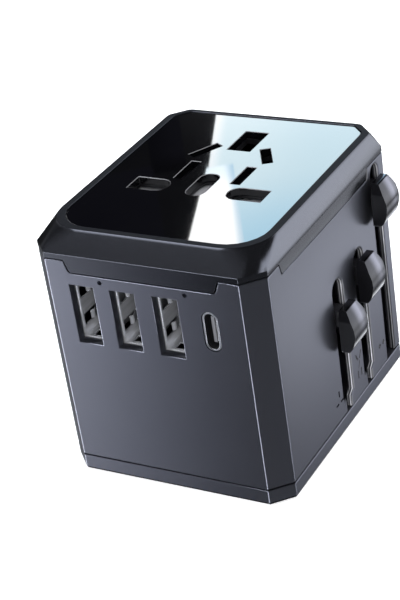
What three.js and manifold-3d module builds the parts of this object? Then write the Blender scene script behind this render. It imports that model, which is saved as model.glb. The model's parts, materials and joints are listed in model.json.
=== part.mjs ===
// Universal travel adapter: a cube-like body with a sliding set of UK pins, one of turning US and
// Australian blades and one of European pins, a socket face on top and four USB ports in front.
// Millimetres, +Z up. The origin is the middle of the base, +X is the side with the three knobs
// and -Y is the side with the USB ports. All pins are shown drawn in.
import * as THREE from 'three';
import { ConvexGeometry } from 'three/addons/geometries/ConvexGeometry.js';
import { mergeVertices } from 'three/addons/utils/BufferGeometryUtils.js';
import Module from 'manifold-3d';

const wasm = await Module();
wasm.setup();

// ---- outer sizes ------------------------------------------------------------------------------
const HALF_X = 26.0;             // half the width of the body
const HALF_Y = 31.7;             // half the depth of the body
const CORNER = 4.2;              // upright corner chamfers
const WALL = 1.8;                // wall of the housing
const THIN_WALL = 1.2;           // wall where the slider tracks are
const SEAM = 0.25;               // visible joint line between housing pieces
const Z_BASE = 3.8;              // joint between base cover and body
const Z_TOP = 51.46;             // joint between body and top bezel
const Z_RIDGE = 52.74;           // where the bezel starts to slope in
const Z_SHOULDER = 55.9;         // where the slope meets the lip
const Z_LIP = 56.4;              // top of the lip, the highest face
const FOOT = 0.5;                // small chamfer around the foot
const GAP = 0.3;                 // clearance between pieces that fit into each other

// ---- lip and socket panel ---------------------------------------------------------------------
const LIP_X = 24.7;              // half width of the lip
const LIP_Y0 = -27.8;            // front of the lip
const LIP_Y1 = 30.0;             // back of the lip
const LIP_R = 8.6;               // radius of its two front corners
const LIP_CUT = 3.6;             // chamfer of its two back corners
const PANEL_X = 22.6;            // half width of the glossy socket panel
const PANEL_Y0 = -25.9;
const PANEL_Y1 = 28.5;
const PANEL_R = 7.6;
const PANEL_CUT = 2.6;
const PANEL_TOP = 56.2;
const PANEL_THICK = 1.7;
const LEDGE_X = 20.3;            // opening under the panel
const LEDGE_Y0 = -23.6;
const LEDGE_Y1 = 26.8;

// ---- tabs of the bezel that reach down over the body -------------------------------------------
const FRONT_TAB = { low: 48.85, wide: 17.4, narrow: 16.1 };
const SIDE_TAB = { low: 49.0, y0: -22.8, y1: 19.4, slope: 1.0 };

// ---- slider tracks in the +X wall: middle, half width, top --------------------------------------
const TRACKS = [
  { y: 0.2, half: 2.3, top: 35.3, neck: 6.9, slotY: 0.05, slotHalf: 0.95 },
  { y: 11.2, half: 2.2, top: 36.6, neck: 6.9, slotY: 11.15, slotHalf: 0.95 },
  { y: 22.9, half: 2.0, top: 50.6, neck: 0, slotY: 22.9, slotHalf: 2.0 },
];

// ---- knobs: middle in y and z -------------------------------------------------------------------
const KNOB_HALF = 3.4;
const KNOB_BACK = 26.8;
const KNOBS = {
  uk: { y: 0.7, z: 24.6 },
  us_au: { y: 11.5, z: 30.35 },
  eu: { y: 21.65, z: 43.25 },
};

// ---- pin carriers -------------------------------------------------------------------------------
const CARRIER_Z0 = 22.0;
const CARRIER_Z1 = 26.0;
const RISER_X0 = 21.0;
const RISER_X1 = 23.8;
const STEM_X1 = 26.5;
const STEM_HALF = 1.7;
const PIN_TIP = 0.4;             // drawn-in pins stop just above the base face
const PIN_TOP = 27.2;            // contact ends of the pins above the carriers
const UK_LN_X = 11.1;            // UK live and neutral pins are 22.2 apart
const UK_ROW_Y = 0.2;
const UK_EARTH_Y = -22.0;
const US_X = 6.35;               // US blades are 12.7 apart
const US_Y = 11.2;
const US_PIVOT = 1.0;            // each blade turns about a point this far behind its middle
const EU_X = 9.5;                // European pins are 19 apart
const EU_Y = 22.9;
const EU_R = 2.0;
const BLADE_TURN = 30;           // degrees between the US and the Australian setting

// ---- USB ports ----------------------------------------------------------------------------------
const USB_A_X = [-14.32, -4.92, 4.8];
const USB_A_Z = 39.35;
const USB_A_OPEN = [5.5, 13.3];
const USB_A_SHELL = [5.9, 13.7];
const USB_A_WALL = 0.4;
const USB_C_X = 14.4;
const USB_C_Z = 39.95;
const USB_C_SIZE = [3.4, 8.7];
const USB_BACK = -15.6;
const LED_X = 9.6;
const LED_Z = 47.4;

// ---- inner levels -------------------------------------------------------------------------------
const CHASSIS_Z0 = 28.3;
const CHASSIS_Z1 = 30.3;
const BLOCK_Z0 = 44.0;
const BLOCK_Z1 = 54.2;
const BLOCK_X = 19.5;
const BLOCK_Y0 = -12.0;
const BLOCK_Y1 = 26.0;
const SCREWS = [[-20.3, -28.2], [20.3, -28.2], [-20.3, 28.2], [20.3, 28.2]];

// ---- helpers ------------------------------------------------------------------------------------
function solid(geometry) {
  const bare = geometry.index ? geometry.toNonIndexed() : geometry.clone();
  bare.deleteAttribute('normal');
  bare.deleteAttribute('uv');
  const welded = mergeVertices(bare, 1e-5);
  const mesh = new wasm.Mesh({
    numProp: 3,
    vertProperties: new Float32Array(welded.attributes.position.array),
    triVerts: new Uint32Array(welded.index.array),
  });
  return new wasm.Manifold(mesh);
}

function box(x0, x1, y0, y1, z0, z1) {
  const geometry = new THREE.BoxGeometry(x1 - x0, y1 - y0, z1 - z0);
  geometry.translate((x0 + x1) / 2, (y0 + y1) / 2, (z0 + z1) / 2);
  return solid(geometry);
}

function rod(x, y, z0, z1, radius, sides = 24) {
  const geometry = new THREE.CylinderGeometry(radius, radius, z1 - z0, sides);
  geometry.rotateX(Math.PI / 2);
  geometry.translate(x, y, (z0 + z1) / 2);
  return solid(geometry);
}

function rodY(x, z, y0, y1, radius, sides = 20) {
  const geometry = new THREE.CylinderGeometry(radius, radius, y1 - y0, sides);
  geometry.translate(x, (y0 + y1) / 2, z);
  return solid(geometry);
}

function plan(points, z0, z1) {
  const shape = new THREE.Shape(points.map(([x, y]) => new THREE.Vector2(x, y)));
  const geometry = new THREE.ExtrudeGeometry(shape, { depth: z1 - z0, bevelEnabled: false });
  geometry.translate(0, 0, z0);
  return solid(geometry);
}

// a shape drawn in x and z, extruded from y0 to y1
function alongY(points, y0, y1) {
  const shape = new THREE.Shape(points.map(([x, z]) => new THREE.Vector2(x, z)));
  const geometry = new THREE.ExtrudeGeometry(shape, { depth: y1 - y0, bevelEnabled: false });
  geometry.rotateX(Math.PI / 2);
  geometry.translate(0, y1, 0);
  return solid(geometry);
}

// a shape drawn in y and z, extruded from x0 to x1
function alongX(points, x0, x1) {
  const shape = new THREE.Shape(points.map(([y, z]) => new THREE.Vector2(y, z)));
  const geometry = new THREE.ExtrudeGeometry(shape, { depth: x1 - x0, bevelEnabled: false });
  geometry.rotateX(Math.PI / 2);
  geometry.rotateZ(Math.PI / 2);
  geometry.translate(x0, 0, 0);
  return solid(geometry);
}

function octagon(inset) {
  const x = HALF_X - inset;
  const y = HALF_Y - inset;
  const c = CORNER - inset * 0.586;
  return [
    [-x, -y + c], [-x + c, -y], [x - c, -y], [x, -y + c],
    [x, y - c], [x - c, y], [-x + c, y], [-x, y - c],
  ];
}

function roundedRect(x0, x1, y0, y1, radius, steps = 6) {
  const corners = [[x1 - radius, y1 - radius, 0], [x0 + radius, y1 - radius, 90],
    [x0 + radius, y0 + radius, 180], [x1 - radius, y0 + radius, 270]];
  const points = [];
  for (const [cx, cy, start] of corners) {
    for (let i = 0; i <= steps; i++) {
      const angle = THREE.MathUtils.degToRad(start + (90 * i) / steps);
      points.push([cx + radius * Math.cos(angle), cy + radius * Math.sin(angle)]);
    }
  }
  return points;
}

// the outline of the lip and the panel: round corners in front, chamfered ones at the back
function faceOutline(x, y0, y1, radius, cut) {
  const points = roundedRect(-x, x, y0, y1, radius, 6).filter(([, y]) => y < (y0 + y1) / 2);
  const soft = 0.8;
  points.push([x, y1 - cut - soft], [x - 0.25, y1 - cut], [x - cut, y1 - 0.25], [x - cut - soft, y1]);
  points.push([-x + cut + soft, y1], [-x + cut, y1 - 0.25], [-x + 0.25, y1 - cut], [-x, y1 - cut - soft]);
  return points;
}

function hull(rings) {
  const points = [];
  for (const [ring, z] of rings) {
    for (const [x, y] of ring) {
      points.push(new THREE.Vector3(x, y, z));
    }
  }
  return solid(new ConvexGeometry(points));
}

function mirrorX(points) {
  return points.map(([x, y]) => [-x, y]).reverse();
}

function turned(points, degrees, cx, cy) {
  const a = THREE.MathUtils.degToRad(degrees);
  return points.map(([x, y]) => [
    cx + (x - cx) * Math.cos(a) - (y - cy) * Math.sin(a),
    cy + (x - cx) * Math.sin(a) + (y - cy) * Math.cos(a),
  ]);
}

function rect(cx, cy, wide, deep) {
  return [
    [cx - wide / 2, cy - deep / 2], [cx + wide / 2, cy - deep / 2],
    [cx + wide / 2, cy + deep / 2], [cx - wide / 2, cy + deep / 2],
  ];
}

const adapter = new THREE.Group();
adapter.name = 'universal_travel_adapter';

function addNode(name, manifold, colour, metalness = 0, roughness = 0.5) {
  const result = manifold.getMesh();
  const geometry = new THREE.BufferGeometry();
  geometry.setAttribute('position', new THREE.BufferAttribute(new Float32Array(result.vertProperties), 3));
  geometry.setIndex(new THREE.BufferAttribute(new Uint32Array(result.triVerts), 1));
  geometry.computeVertexNormals();
  const material = new THREE.MeshStandardMaterial({ color: colour, metalness, roughness });
  const mesh = new THREE.Mesh(geometry, material);
  mesh.name = name;
  adapter.add(mesh);
}

// ---- socket face holes, shared by the panel and the block below it ------------------------------
// The D holes have their round end towards the middle.
function dHole(grow) {
  const points = [[15.4 + grow, -8.2 - grow], [15.4 + grow, -3.1 + grow]];
  const radius = 2.55 + grow;
  for (let i = 0; i <= 8; i++) {
    const angle = Math.PI / 2 + (Math.PI * i) / 8;
    points.push([9.3 + radius * Math.cos(angle), -5.65 + radius * Math.sin(angle)]);
  }
  return points;
}

function socketHoles(grow, z0, z1) {
  const g = 2 * grow;
  const slant = turned(rect(7.2, 11.4, 2.2 + g, 7.2 + g), 30, 7.2, 11.4);
  const blade = rect(6.6, 2.0, 2.2 + g, 8.0 + g);
  const earth = rect(0, 17.2, 5.4 + g, 9.2 + g);
  const middle = roundedRect(-2.2 - grow, 2.2 + grow, -8.4 - grow, 1.4 + grow, 2.1 + grow, 6);
  const outlines = [dHole(grow), mirrorX(dHole(grow)), slant, mirrorX(slant)];
  outlines.push(blade, mirrorX(blade), earth, middle);
  return outlines.map((outline) => plan(outline, z0, z1)).reduce((a, b) => a.add(b));
}

// ---- housing ------------------------------------------------------------------------------------
// one end of a tab: down from the joint line in an S to the tab's lower edge
function tabEnd(outer, inner, low, z1) {
  const points = [];
  for (let i = 0; i <= 6; i++) {
    const t = i / 6;
    const ease = t * t * (3 - 2 * t);
    points.push([outer + (inner - outer) * t, Z_TOP + (low - Z_TOP) * ease]);
  }
  return [[outer, z1], ...points];
}

function tabShapes(shrink, z1) {
  const s = shrink;
  const front = tabEnd(-FRONT_TAB.wide + s, -FRONT_TAB.narrow + s, FRONT_TAB.low + s, z1)
    .concat(tabEnd(FRONT_TAB.wide - s, FRONT_TAB.narrow - s, FRONT_TAB.low + s, z1).reverse());
  const y0 = SIDE_TAB.y0;
  const y1 = SIDE_TAB.y1;
  const side = tabEnd(y0 + s, y0 + SIDE_TAB.slope + s, SIDE_TAB.low + s, z1)
    .concat(tabEnd(y1 - s, y1 - SIDE_TAB.slope - s, SIDE_TAB.low + s, z1).reverse());
  const frontTab = alongY(front, -HALF_Y, -HALF_Y + WALL);
  const sideTab = alongX(side, HALF_X - WALL, HALF_X);
  return frontTab.add(sideTab);
}

function trackCut(track) {
  const { y, half, top, neck, slotY, slotHalf } = track;
  const points = [[slotY + slotHalf, Z_BASE - 1]];
  if (neck > 0) {
    points.push([slotY + slotHalf, neck - 0.3], [y + half, neck + 0.6]);
  } else {
    points.push([y + half, Z_BASE]);
  }
  for (let i = 0; i <= 8; i++) {
    const angle = (Math.PI * i) / 8;
    points.push([y + half * Math.cos(angle), top - half + half * Math.sin(angle)]);
  }
  if (neck > 0) {
    points.push([y - half, neck], [slotY - slotHalf, neck]);
  }
  points.push([slotY - slotHalf, Z_BASE - 1]);
  return alongX(points, HALF_X - 4, HALF_X + 1);
}

function bodyShell() {
  let shell = plan(octagon(0), Z_BASE + SEAM / 2, Z_TOP - SEAM / 2);
  shell = shell.subtract(plan(octagon(WALL), Z_BASE - 1, Z_TOP + 1));
  for (const [x, y] of SCREWS) {
    const boss = rod(x, y, Z_BASE + 0.6, CHASSIS_Z0 - GAP, 2.4).subtract(rod(x, y, 0, 40, 1.6));
    shell = shell.add(boss.intersect(plan(octagon(0.5), 0, 60)));
  }
  shell = shell.subtract(box(HALF_X - 3, HALF_X - THIN_WALL, -6, 25.6, 0, 51));
  shell = shell.subtract(tabShapes(-SEAM, Z_TOP + 1));
  for (const track of TRACKS) {
    shell = shell.subtract(trackCut(track));
  }
  for (const x of USB_A_X) {
    const port = rect(x, USB_A_Z, ...USB_A_OPEN);
    shell = shell.subtract(alongY(port, -HALF_Y - 1, -HALF_Y + WALL + 1));
  }
  const g = GAP / 2;
  const ring = roundedRect(
    USB_C_X - USB_C_SIZE[0] / 2 - g, USB_C_X + USB_C_SIZE[0] / 2 + g,
    USB_C_Z - USB_C_SIZE[1] / 2 - g, USB_C_Z + USB_C_SIZE[1] / 2 + g, 1.7 + g - 0.01, 5);
  shell = shell.subtract(alongY(ring, -HALF_Y - 1, -HALF_Y + WALL + 1));
  for (const side of [-1, 1]) {
    shell = shell.subtract(rodY(side * LED_X, LED_Z, -HALF_Y - 1, -HALF_Y + WALL + 1, 0.5, 16));
  }
  return shell;
}

function topBezel() {
  const lip = faceOutline(LIP_X, LIP_Y0, LIP_Y1, LIP_R, LIP_CUT);
  const rim = faceOutline(LIP_X - 0.4, LIP_Y0 + 0.4, LIP_Y1 - 0.4, LIP_R - 0.4, LIP_CUT - 0.2);
  let bezel = plan(octagon(0), Z_TOP + SEAM / 2, Z_RIDGE);
  bezel = bezel.add(hull([[octagon(0), Z_RIDGE], [lip, Z_SHOULDER]]));
  bezel = bezel.add(hull([[lip, Z_SHOULDER], [rim, Z_LIP]]));
  bezel = bezel.subtract(plan(octagon(WALL), Z_TOP - 1, 53.0));
  bezel = bezel.subtract(box(-LEDGE_X, LEDGE_X, LEDGE_Y0, LEDGE_Y1, Z_TOP, Z_LIP + 1));
  const g = SEAM / 2;
  const pocket = faceOutline(PANEL_X + g, PANEL_Y0 - g, PANEL_Y1 + g, PANEL_R + g, PANEL_CUT);
  bezel = bezel.subtract(plan(pocket, PANEL_TOP - PANEL_THICK - g, Z_LIP + 1));
  return bezel.add(tabShapes(0, Z_TOP + 0.5));
}

function socketPanel() {
  const outline = faceOutline(PANEL_X, PANEL_Y0, PANEL_Y1, PANEL_R, PANEL_CUT);
  const plate = plan(outline, PANEL_TOP - PANEL_THICK, PANEL_TOP);
  return plate.subtract(socketHoles(0, PANEL_TOP - 4, PANEL_TOP + 1));
}

function baseCover() {
  let base = hull([[octagon(FOOT), 0], [octagon(0), FOOT], [octagon(0), Z_BASE - SEAM / 2]]);
  base = base.subtract(plan(octagon(WALL + 0.15), 2.4, 6));
  const c = GAP;
  for (const side of [-1, 1]) {
    base = base.subtract(plan(rect(side * UK_LN_X, UK_ROW_Y, 6.35 + 2 * c, 4 + 2 * c), -1, 6));
    base = base.subtract(rod(side * EU_X, EU_Y, -1, 6, EU_R + c));
    for (let i = 0; i <= 4; i++) {
      const slot = rect(side * US_X, US_Y, 1.5 + 2 * c, 6.35 + 2 * c);
      const turn = (side * BLADE_TURN * i) / 4;
      base = base.subtract(plan(turned(slot, turn, side * US_X, US_Y + US_PIVOT), -1, 6));
    }
  }
  base = base.subtract(plan(rect(0, UK_EARTH_Y, 4 + 2 * c, 8 + 2 * c), -1, 6));
  for (const [x, y] of SCREWS) {
    base = base.subtract(rod(x, y, -1, 6, 1.6)).subtract(rod(x, y, -1, 1.9, 2.5));
  }
  return base;
}

addNode('body_shell', bodyShell(), 0x55565f);
addNode('top_bezel', topBezel(), 0x55565f);
addNode('socket_panel', socketPanel(), 0x0c0d10, 0, 0.08);
addNode('base_cover', baseCover(), 0x55565f);
SCREWS.forEach(([x, y], i) => {
  const screw = rod(x, y, 0.5, 1.6, 2.1).add(rod(x, y, 1.5, 14, 1.2, 16));
  addNode(`housing_screw_${i + 1}`, screw.subtract(rod(x, y, 0, 1.1, 0.8, 6)), 0x8a8c90, 1, 0.35);
});

// ---- knobs: bulging outer face, cut upper corners ------------------------------------------------
const KNOB_FACE = [[-4.85, 28.45], [-4.6, 28.75], [-3.9, 29.35], [-2.9, 29.8], [-1.7, 30.1],
  [-0.4, 30.25], [0.9, 30.1], [2.2, 29.7], [3.4, 29.15], [4.3, 28.65], [4.85, 28.35]];
const KNOB_OUTLINE = [[3.2, -4.85], [3.4, -4.6], [3.4, 2.4], [3.25, 2.95], [2.6, 4.6], [2.35, 4.85]];

function knob({ y, z }) {
  const side = KNOB_FACE.map(([dz, x]) => [x, z + dz]);
  side.push([KNOB_BACK, z + 4.85], [KNOB_BACK, z - 4.85]);
  const outline = KNOB_OUTLINE.map(([dy, dz]) => [y + dy, z + dz]);
  const left = KNOB_OUTLINE.map(([dy, dz]) => [y - dy, z + dz]).reverse();
  const cap = alongY(side, y - KNOB_HALF - 1, y + KNOB_HALF + 1);
  return cap.intersect(alongX(outline.concat(left), KNOB_BACK - 1, KNOB_BACK + 5));
}

addNode('uk_knob', knob(KNOBS.uk), 0x4a4b53);
addNode('us_au_knob', knob(KNOBS.us_au), 0x4a4b53);
addNode('eu_knob', knob(KNOBS.eu), 0x4a4b53);

// ---- carriers -----------------------------------------------------------------------------------
function carrier(outline, stemY, stemZ0, stemZ1) {
  const bar = plan(outline, CARRIER_Z0, CARRIER_Z1);
  const riser = box(RISER_X0, RISER_X1, stemY - 2.4, stemY + 2.4, CARRIER_Z0 + 0.5, stemZ1);
  const stem = box(RISER_X0 + 1, STEM_X1, stemY - STEM_HALF, stemY + STEM_HALF, stemZ0, stemZ1);
  return bar.add(riser).add(stem);
}

function ukCarrier() {
  const outline = [
    [-15.6, -2.9], [-3.6, -2.9], [-3.6, -27.0], [3.6, -27.0],
    [3.6, -2.9], [RISER_X1, -2.9], [RISER_X1, 3.3], [-15.6, 3.3],
  ];
  let body = carrier(outline, UK_ROW_Y, 25.0, 28.8);
  for (const side of [-1, 1]) {
    body = body.subtract(plan(rect(side * UK_LN_X, UK_ROW_Y, 6.95, 4.6), 20, 30));
  }
  return body.subtract(plan(rect(0, UK_EARTH_Y, 4.6, 8.6), 20, 30));
}

function usCarrier() {
  const outline = [[-9.6, 7.8], [RISER_X1, 7.8], [RISER_X1, 14.6], [-9.6, 14.6]];
  let body = carrier(outline, US_Y, 29.0, 33.4);
  for (const side of [-1, 1]) {
    body = body.subtract(rod(side * US_X, US_Y + US_PIVOT, 20, 30, 1.5));
  }
  return body;
}

function euCarrier() {
  const outline = [[-12.8, 20.2], [RISER_X1, 20.2], [RISER_X1, 25.4], [-12.8, 25.4]];
  let body = carrier(outline, EU_Y, 41.0, 46.4);
  for (const side of [-1, 1]) {
    body = body.subtract(rod(side * EU_X, EU_Y, 20, 30, EU_R + GAP));
  }
  return body;
}

addNode('uk_carrier', ukCarrier(), 0x1b1c1f);
addNode('us_au_carrier', usCarrier(), 0x1b1c1f);
addNode('eu_carrier', euCarrier(), 0x1b1c1f);

// ---- pins ---------------------------------------------------------------------------------------
function flatPin(x, y, wide, deep) {
  const tip = hull([[rect(x, y, wide - 1, deep - 1), PIN_TIP], [rect(x, y, wide, deep), PIN_TIP + 1]]);
  return tip.add(plan(rect(x, y, wide, deep), PIN_TIP + 1, PIN_TOP));
}

function blade(side) {
  const x = side * US_X;
  const tip = hull([[rect(x, US_Y, 0.9, 5.0), PIN_TIP], [rect(x, US_Y, 1.5, 6.35), PIN_TIP + 0.9]]);
  const body = plan(rect(x, US_Y, 1.5, 6.35), PIN_TIP + 0.9, CARRIER_Z0 - GAP);
  return tip.add(body).add(rod(x, US_Y + US_PIVOT, CARRIER_Z0 - 1.5, PIN_TOP, 1.2));
}

function roundPin(x) {
  const tip = new THREE.SphereGeometry(EU_R, 24, 12);
  tip.rotateX(Math.PI / 2);
  tip.translate(x, EU_Y, PIN_TIP + EU_R);
  return solid(tip).add(rod(x, EU_Y, PIN_TIP + EU_R, PIN_TOP, EU_R));
}

addNode('uk_live_pin', flatPin(UK_LN_X, UK_ROW_Y, 6.35, 4), 0xd2b268, 1, 0.3);
addNode('uk_neutral_pin', flatPin(-UK_LN_X, UK_ROW_Y, 6.35, 4), 0xd2b268, 1, 0.3);
addNode('uk_earth_pin', flatPin(0, UK_EARTH_Y, 4, 8), 0xd2b268, 1, 0.3);
addNode('us_au_blade_right', blade(1), 0xc8cacd, 1, 0.3);
addNode('us_au_blade_left', blade(-1), 0xc8cacd, 1, 0.3);
addNode('eu_pin_right', roundPin(EU_X), 0xc8cacd, 1, 0.3);
addNode('eu_pin_left', roundPin(-EU_X), 0xc8cacd, 1, 0.3);

// ---- chassis between the pin space and the socket space -----------------------------------------
function chassis() {
  const outline = octagon(WALL + GAP);
  let plate = plan(outline, CHASSIS_Z0, CHASSIS_Z1);
  plate = plate.subtract(box(20.4, 30, -6, 27.6, CHASSIS_Z0 - 1, CHASSIS_Z1 + 1));
  for (const side of [-1, 1]) {
    plate = plate.add(box(side * 17 - 1.5, side * 17 + 1.5, 22, 25, CHASSIS_Z1 - 0.5, BLOCK_Z0 - GAP));
  }
  return plate;
}

addNode('chassis', chassis(), 0x24262a);

// ---- socket block, contacts, shutter ------------------------------------------------------------
function socketBlock() {
  let block = box(-BLOCK_X, BLOCK_X, BLOCK_Y0, BLOCK_Y1, BLOCK_Z0, BLOCK_Z1);
  block = block.subtract(socketHoles(0.3, BLOCK_Z0 - 1, BLOCK_Z1 + 1));
  block = block.subtract(box(-17, 17, BLOCK_Y0 - 1, 8.9, 51.8, 53.7));
  for (const [x0, x1] of [[3.6, 12.7], [-12.7, -3.6]]) {
    block = block.subtract(box(x0, x1, 1.0, 21.0, 51.8, 53.1));
  }
  return block.subtract(box(-1.4, 1.4, 2.5, 12.0, 51.4, 53.8));
}

function contact(side) {
  let piece = box(4.9, 15.3, -7.6, 14.2, 31.0, 31.9);
  const leaves = [[6.6, -1.4, 5.4], [7.2, 9.2, 13.6], [11.0, -7.2, -4.2]];
  for (const [x, y0, y1] of leaves) {
    piece = piece.add(box(x - 1.6, x - 1.0, y0, y1, 31.5, 43.4));
    piece = piece.add(box(x + 1.0, x + 1.6, y0, y1, 31.5, 43.4));
  }
  return side < 0 ? piece.mirror([1, 0, 0]) : piece;
}

function earthContact() {
  let piece = box(-3.4, 3.4, 12.6, 21.8, 31.0, 31.9);
  for (const x of [-2.3, 2.3]) {
    piece = piece.add(box(x - 0.3, x + 0.3, 13.4, 21.0, 31.5, 43.4));
  }
  return piece;
}

function shutter() {
  let plate = box(-16.4, 16.4, -9.6, 2.3, 52.1, 53.4);
  plate = plate.subtract(box(-8.4, -4.8, -2.6, 3, 51, 54)).subtract(box(4.8, 8.4, -2.6, 3, 51, 54));
  // an arm on each side reaches round the blade slot to close the slanted hole
  const arm = [[8.9, 1.8], [12.4, 1.8], [12.4, 14.6], [3.9, 14.6], [3.9, 8.4], [8.9, 8.4]];
  return plate.add(plan(arm, 52.1, 52.8)).add(plan(mirrorX(arm), 52.1, 52.8));
}

function coil(x, z, y0, y1, radius, wire, turns) {
  class Helix extends THREE.Curve {
    getPoint(t, target = new THREE.Vector3()) {
      const a = 2 * Math.PI * turns * t;
      return target.set(x + radius * Math.cos(a), y0 + (y1 - y0) * t, z + radius * Math.sin(a));
    }
  }
  const tube = new THREE.TubeGeometry(new Helix(), turns * 14, wire, 6, false);
  return solid(capped(tube, turns * 14, 6));
}

// closes both ends of an open tube with a fan of triangles
function capped(tube, segments, sides) {
  const bare = tube.clone();
  bare.deleteAttribute('normal');
  bare.deleteAttribute('uv');
  const position = Array.from(bare.attributes.position.array);
  const index = Array.from(bare.index.array);
  const ring = sides + 1;
  for (let i = 1; i < sides - 1; i++) {
    index.push(0, i, i + 1);
    const last = segments * ring;
    index.push(last, last + i + 1, last + i);
  }
  const geometry = new THREE.BufferGeometry();
  geometry.setAttribute('position', new THREE.Float32BufferAttribute(position, 3));
  geometry.setIndex(index);
  return geometry;
}

addNode('socket_block', socketBlock(), 0x1a1b1e);
addNode('live_contact', contact(1), 0xc9a75c, 1, 0.35);
addNode('neutral_contact', contact(-1), 0xc9a75c, 1, 0.35);
addNode('earth_contact', earthContact(), 0xc9a75c, 1, 0.35);
addNode('shutter', shutter(), 0xb9bcc2);
addNode('shutter_spring', coil(0, 52.6, 2.9, 11.4, 0.85, 0.18, 8), 0xa5a7ab, 1, 0.3);

// ---- USB ports ----------------------------------------------------------------------------------
function usbAShell(x) {
  const inner = [USB_A_SHELL[0] - 2 * USB_A_WALL, USB_A_SHELL[1] - 2 * USB_A_WALL];
  const outer = alongY(rect(x, USB_A_Z, ...USB_A_SHELL), -HALF_Y + WALL + GAP, USB_BACK);
  return outer.subtract(alongY(rect(x, USB_A_Z, ...inner), -HALF_Y, USB_BACK + 1));
}

function usbATongue(x) {
  const blade = box(x + 0.1, x + 1.9, -27.4, USB_BACK + GAP + 0.5, USB_A_Z - 5.55, USB_A_Z + 5.55);
  return blade.add(box(x - 2.9, x + 2.9, USB_BACK + GAP, USB_BACK + GAP + 1, USB_A_Z - 6.8, USB_A_Z + 6.8));
}

USB_A_X.forEach((x, i) => {
  addNode(`usb_a_shell_${i + 1}`, usbAShell(x), 0xc9cbd0, 1, 0.25);
  addNode(`usb_a_tongue_${i + 1}`, usbATongue(x), 0x15161a);
});

function usbCShell() {
  const [w, h] = USB_C_SIZE;
  const around = (s) => roundedRect(
    USB_C_X - w / 2 + s, USB_C_X + w / 2 - s,
    USB_C_Z - h / 2 + s, USB_C_Z + h / 2 - s, w / 2 - s - 0.01, 5);
  return alongY(around(0), -HALF_Y + 0.1, -23).subtract(alongY(around(0.4), -HALF_Y - 1, -20));
}

addNode('usb_c_shell', usbCShell(), 0xc9cbd0, 1, 0.25);
const usbCTongue = box(USB_C_X - 0.35, USB_C_X + 0.35, -30.6, -22.5, USB_C_Z - 2.9, USB_C_Z + 2.9);
const usbCBack = box(USB_C_X - 1.7, USB_C_X + 1.7, -22.7, -14.3, USB_C_Z - 4.3, USB_C_Z + 4.3);
addNode('usb_c_tongue', usbCTongue.add(usbCBack), 0x2a2b30);
addNode('usb_board', box(-19.2, 19.2, -14.0, -12.4, 31.0, 43.6), 0x1d5a3a);
for (const [side, name] of [[-1, 'left'], [1, 'right']]) {
  const pipe = rodY(side * LED_X, LED_Z, -HALF_Y + 1.2, -26.5, 0.3, 12);
  addNode(`light_pipe_${name}`, pipe, 0x9fb6d8, 0, 0.2);
}

// ---- power supply below the chassis -------------------------------------------------------------
function powerBoard() {
  let board = box(-22.9, 22.9, -28.9, -4.4, 4.6, 6.2);
  board = board.subtract(box(-4.4, 4.4, -27.2, 0, 4, 7));
  for (const [x, y] of SCREWS) {
    board = board.subtract(rod(x, y, 4, 7, 2.8));
  }
  return board.intersect(plan(octagon(WALL + GAP), 0, 20));
}

addNode('power_board', powerBoard(), 0x1d5a3a);

function transformerCore() {
  const outer = box(-20.5, -6.5, -22.5, -14.5, 6.6, 21.0);
  const window = box(-18.6, -8.4, -23, -14, 8.6, 19.0);
  return outer.subtract(window).add(box(-15.2, -11.8, -22.5, -14.5, 8, 20));
}

function transformerCoil() {
  const outer = box(-18.3, -8.7, -25.2, -11.8, 8.9, 18.7);
  return outer.subtract(box(-15.5, -11.5, -22.8, -14.2, 8, 20)).subtract(coilClear());
}

// keeps the winding clear of the two outer legs of the core
function coilClear() {
  return box(-22, -18.3, -26, -11, 8, 20).add(box(-8.7, -6, -26, -11, 8, 20));
}

addNode('transformer_core', transformerCore(), 0x2c2d31, 0.4, 0.6);
addNode('transformer_coil', transformerCoil(), 0xd9b23c);
addNode('capacitor_large', rod(10.5, -21, 6.5, 20.5, 4.0), 0x2b3f6b);
addNode('capacitor_small', rod(18.6, -18.5, 6.5, 17.5, 3.15), 0x2b3f6b);
addNode('rectifier', box(7.5, 13.5, -13.5, -9.5, 6.5, 12.5), 0x141518);
addNode('controller_chip', box(15.5, 21.0, -11.8, -6.8, 6.5, 8.1), 0x141518);

// ---- fuse beside the contacts -------------------------------------------------------------------
addNode('fuse', rodY(-19.4, 34.6, -7.0, 13.0, 2.5), 0xe6e6e0, 0, 0.2);
for (const [name, y] of [['front', -5.2], ['back', 11.2]]) {
  const clip = box(-22.4, -16.4, y - 1.4, y + 1.4, 30.6, 36.4);
  addNode(`fuse_clip_${name}`, clip.subtract(rodY(-19.4, 34.6, y - 3, y + 3, 2.75)), 0xc8cacd, 1, 0.3);
}

// ---- leaf springs that hold the sliders in their end positions ----------------------------------
for (const [name, y] of [['uk', UK_ROW_Y], ['us_au', US_Y], ['eu', EU_Y]]) {
  const leaf = box(20.05, 20.35, y - 1.4, y + 1.4, CHASSIS_Z1 + GAP, 40.0);
  addNode(`detent_spring_${name}`, leaf, 0xa5a7ab, 1, 0.3);
}

export default adapter;
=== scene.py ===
# %% [markdown]
# # A universal travel adapter
# This lesson dresses a finished CAD model of a travel adapter. The CAD pieces give the sizes and the
# places. Here each visible piece gets its rounded edges, its small details and its finish.
# Lengths are in metres, +Z is up, -Y is the side with the USB ports and +X the side with the knobs.

# %% Load the CAD model
import json
import math

import bmesh
import bpy
from mathutils import Matrix, Vector


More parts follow.
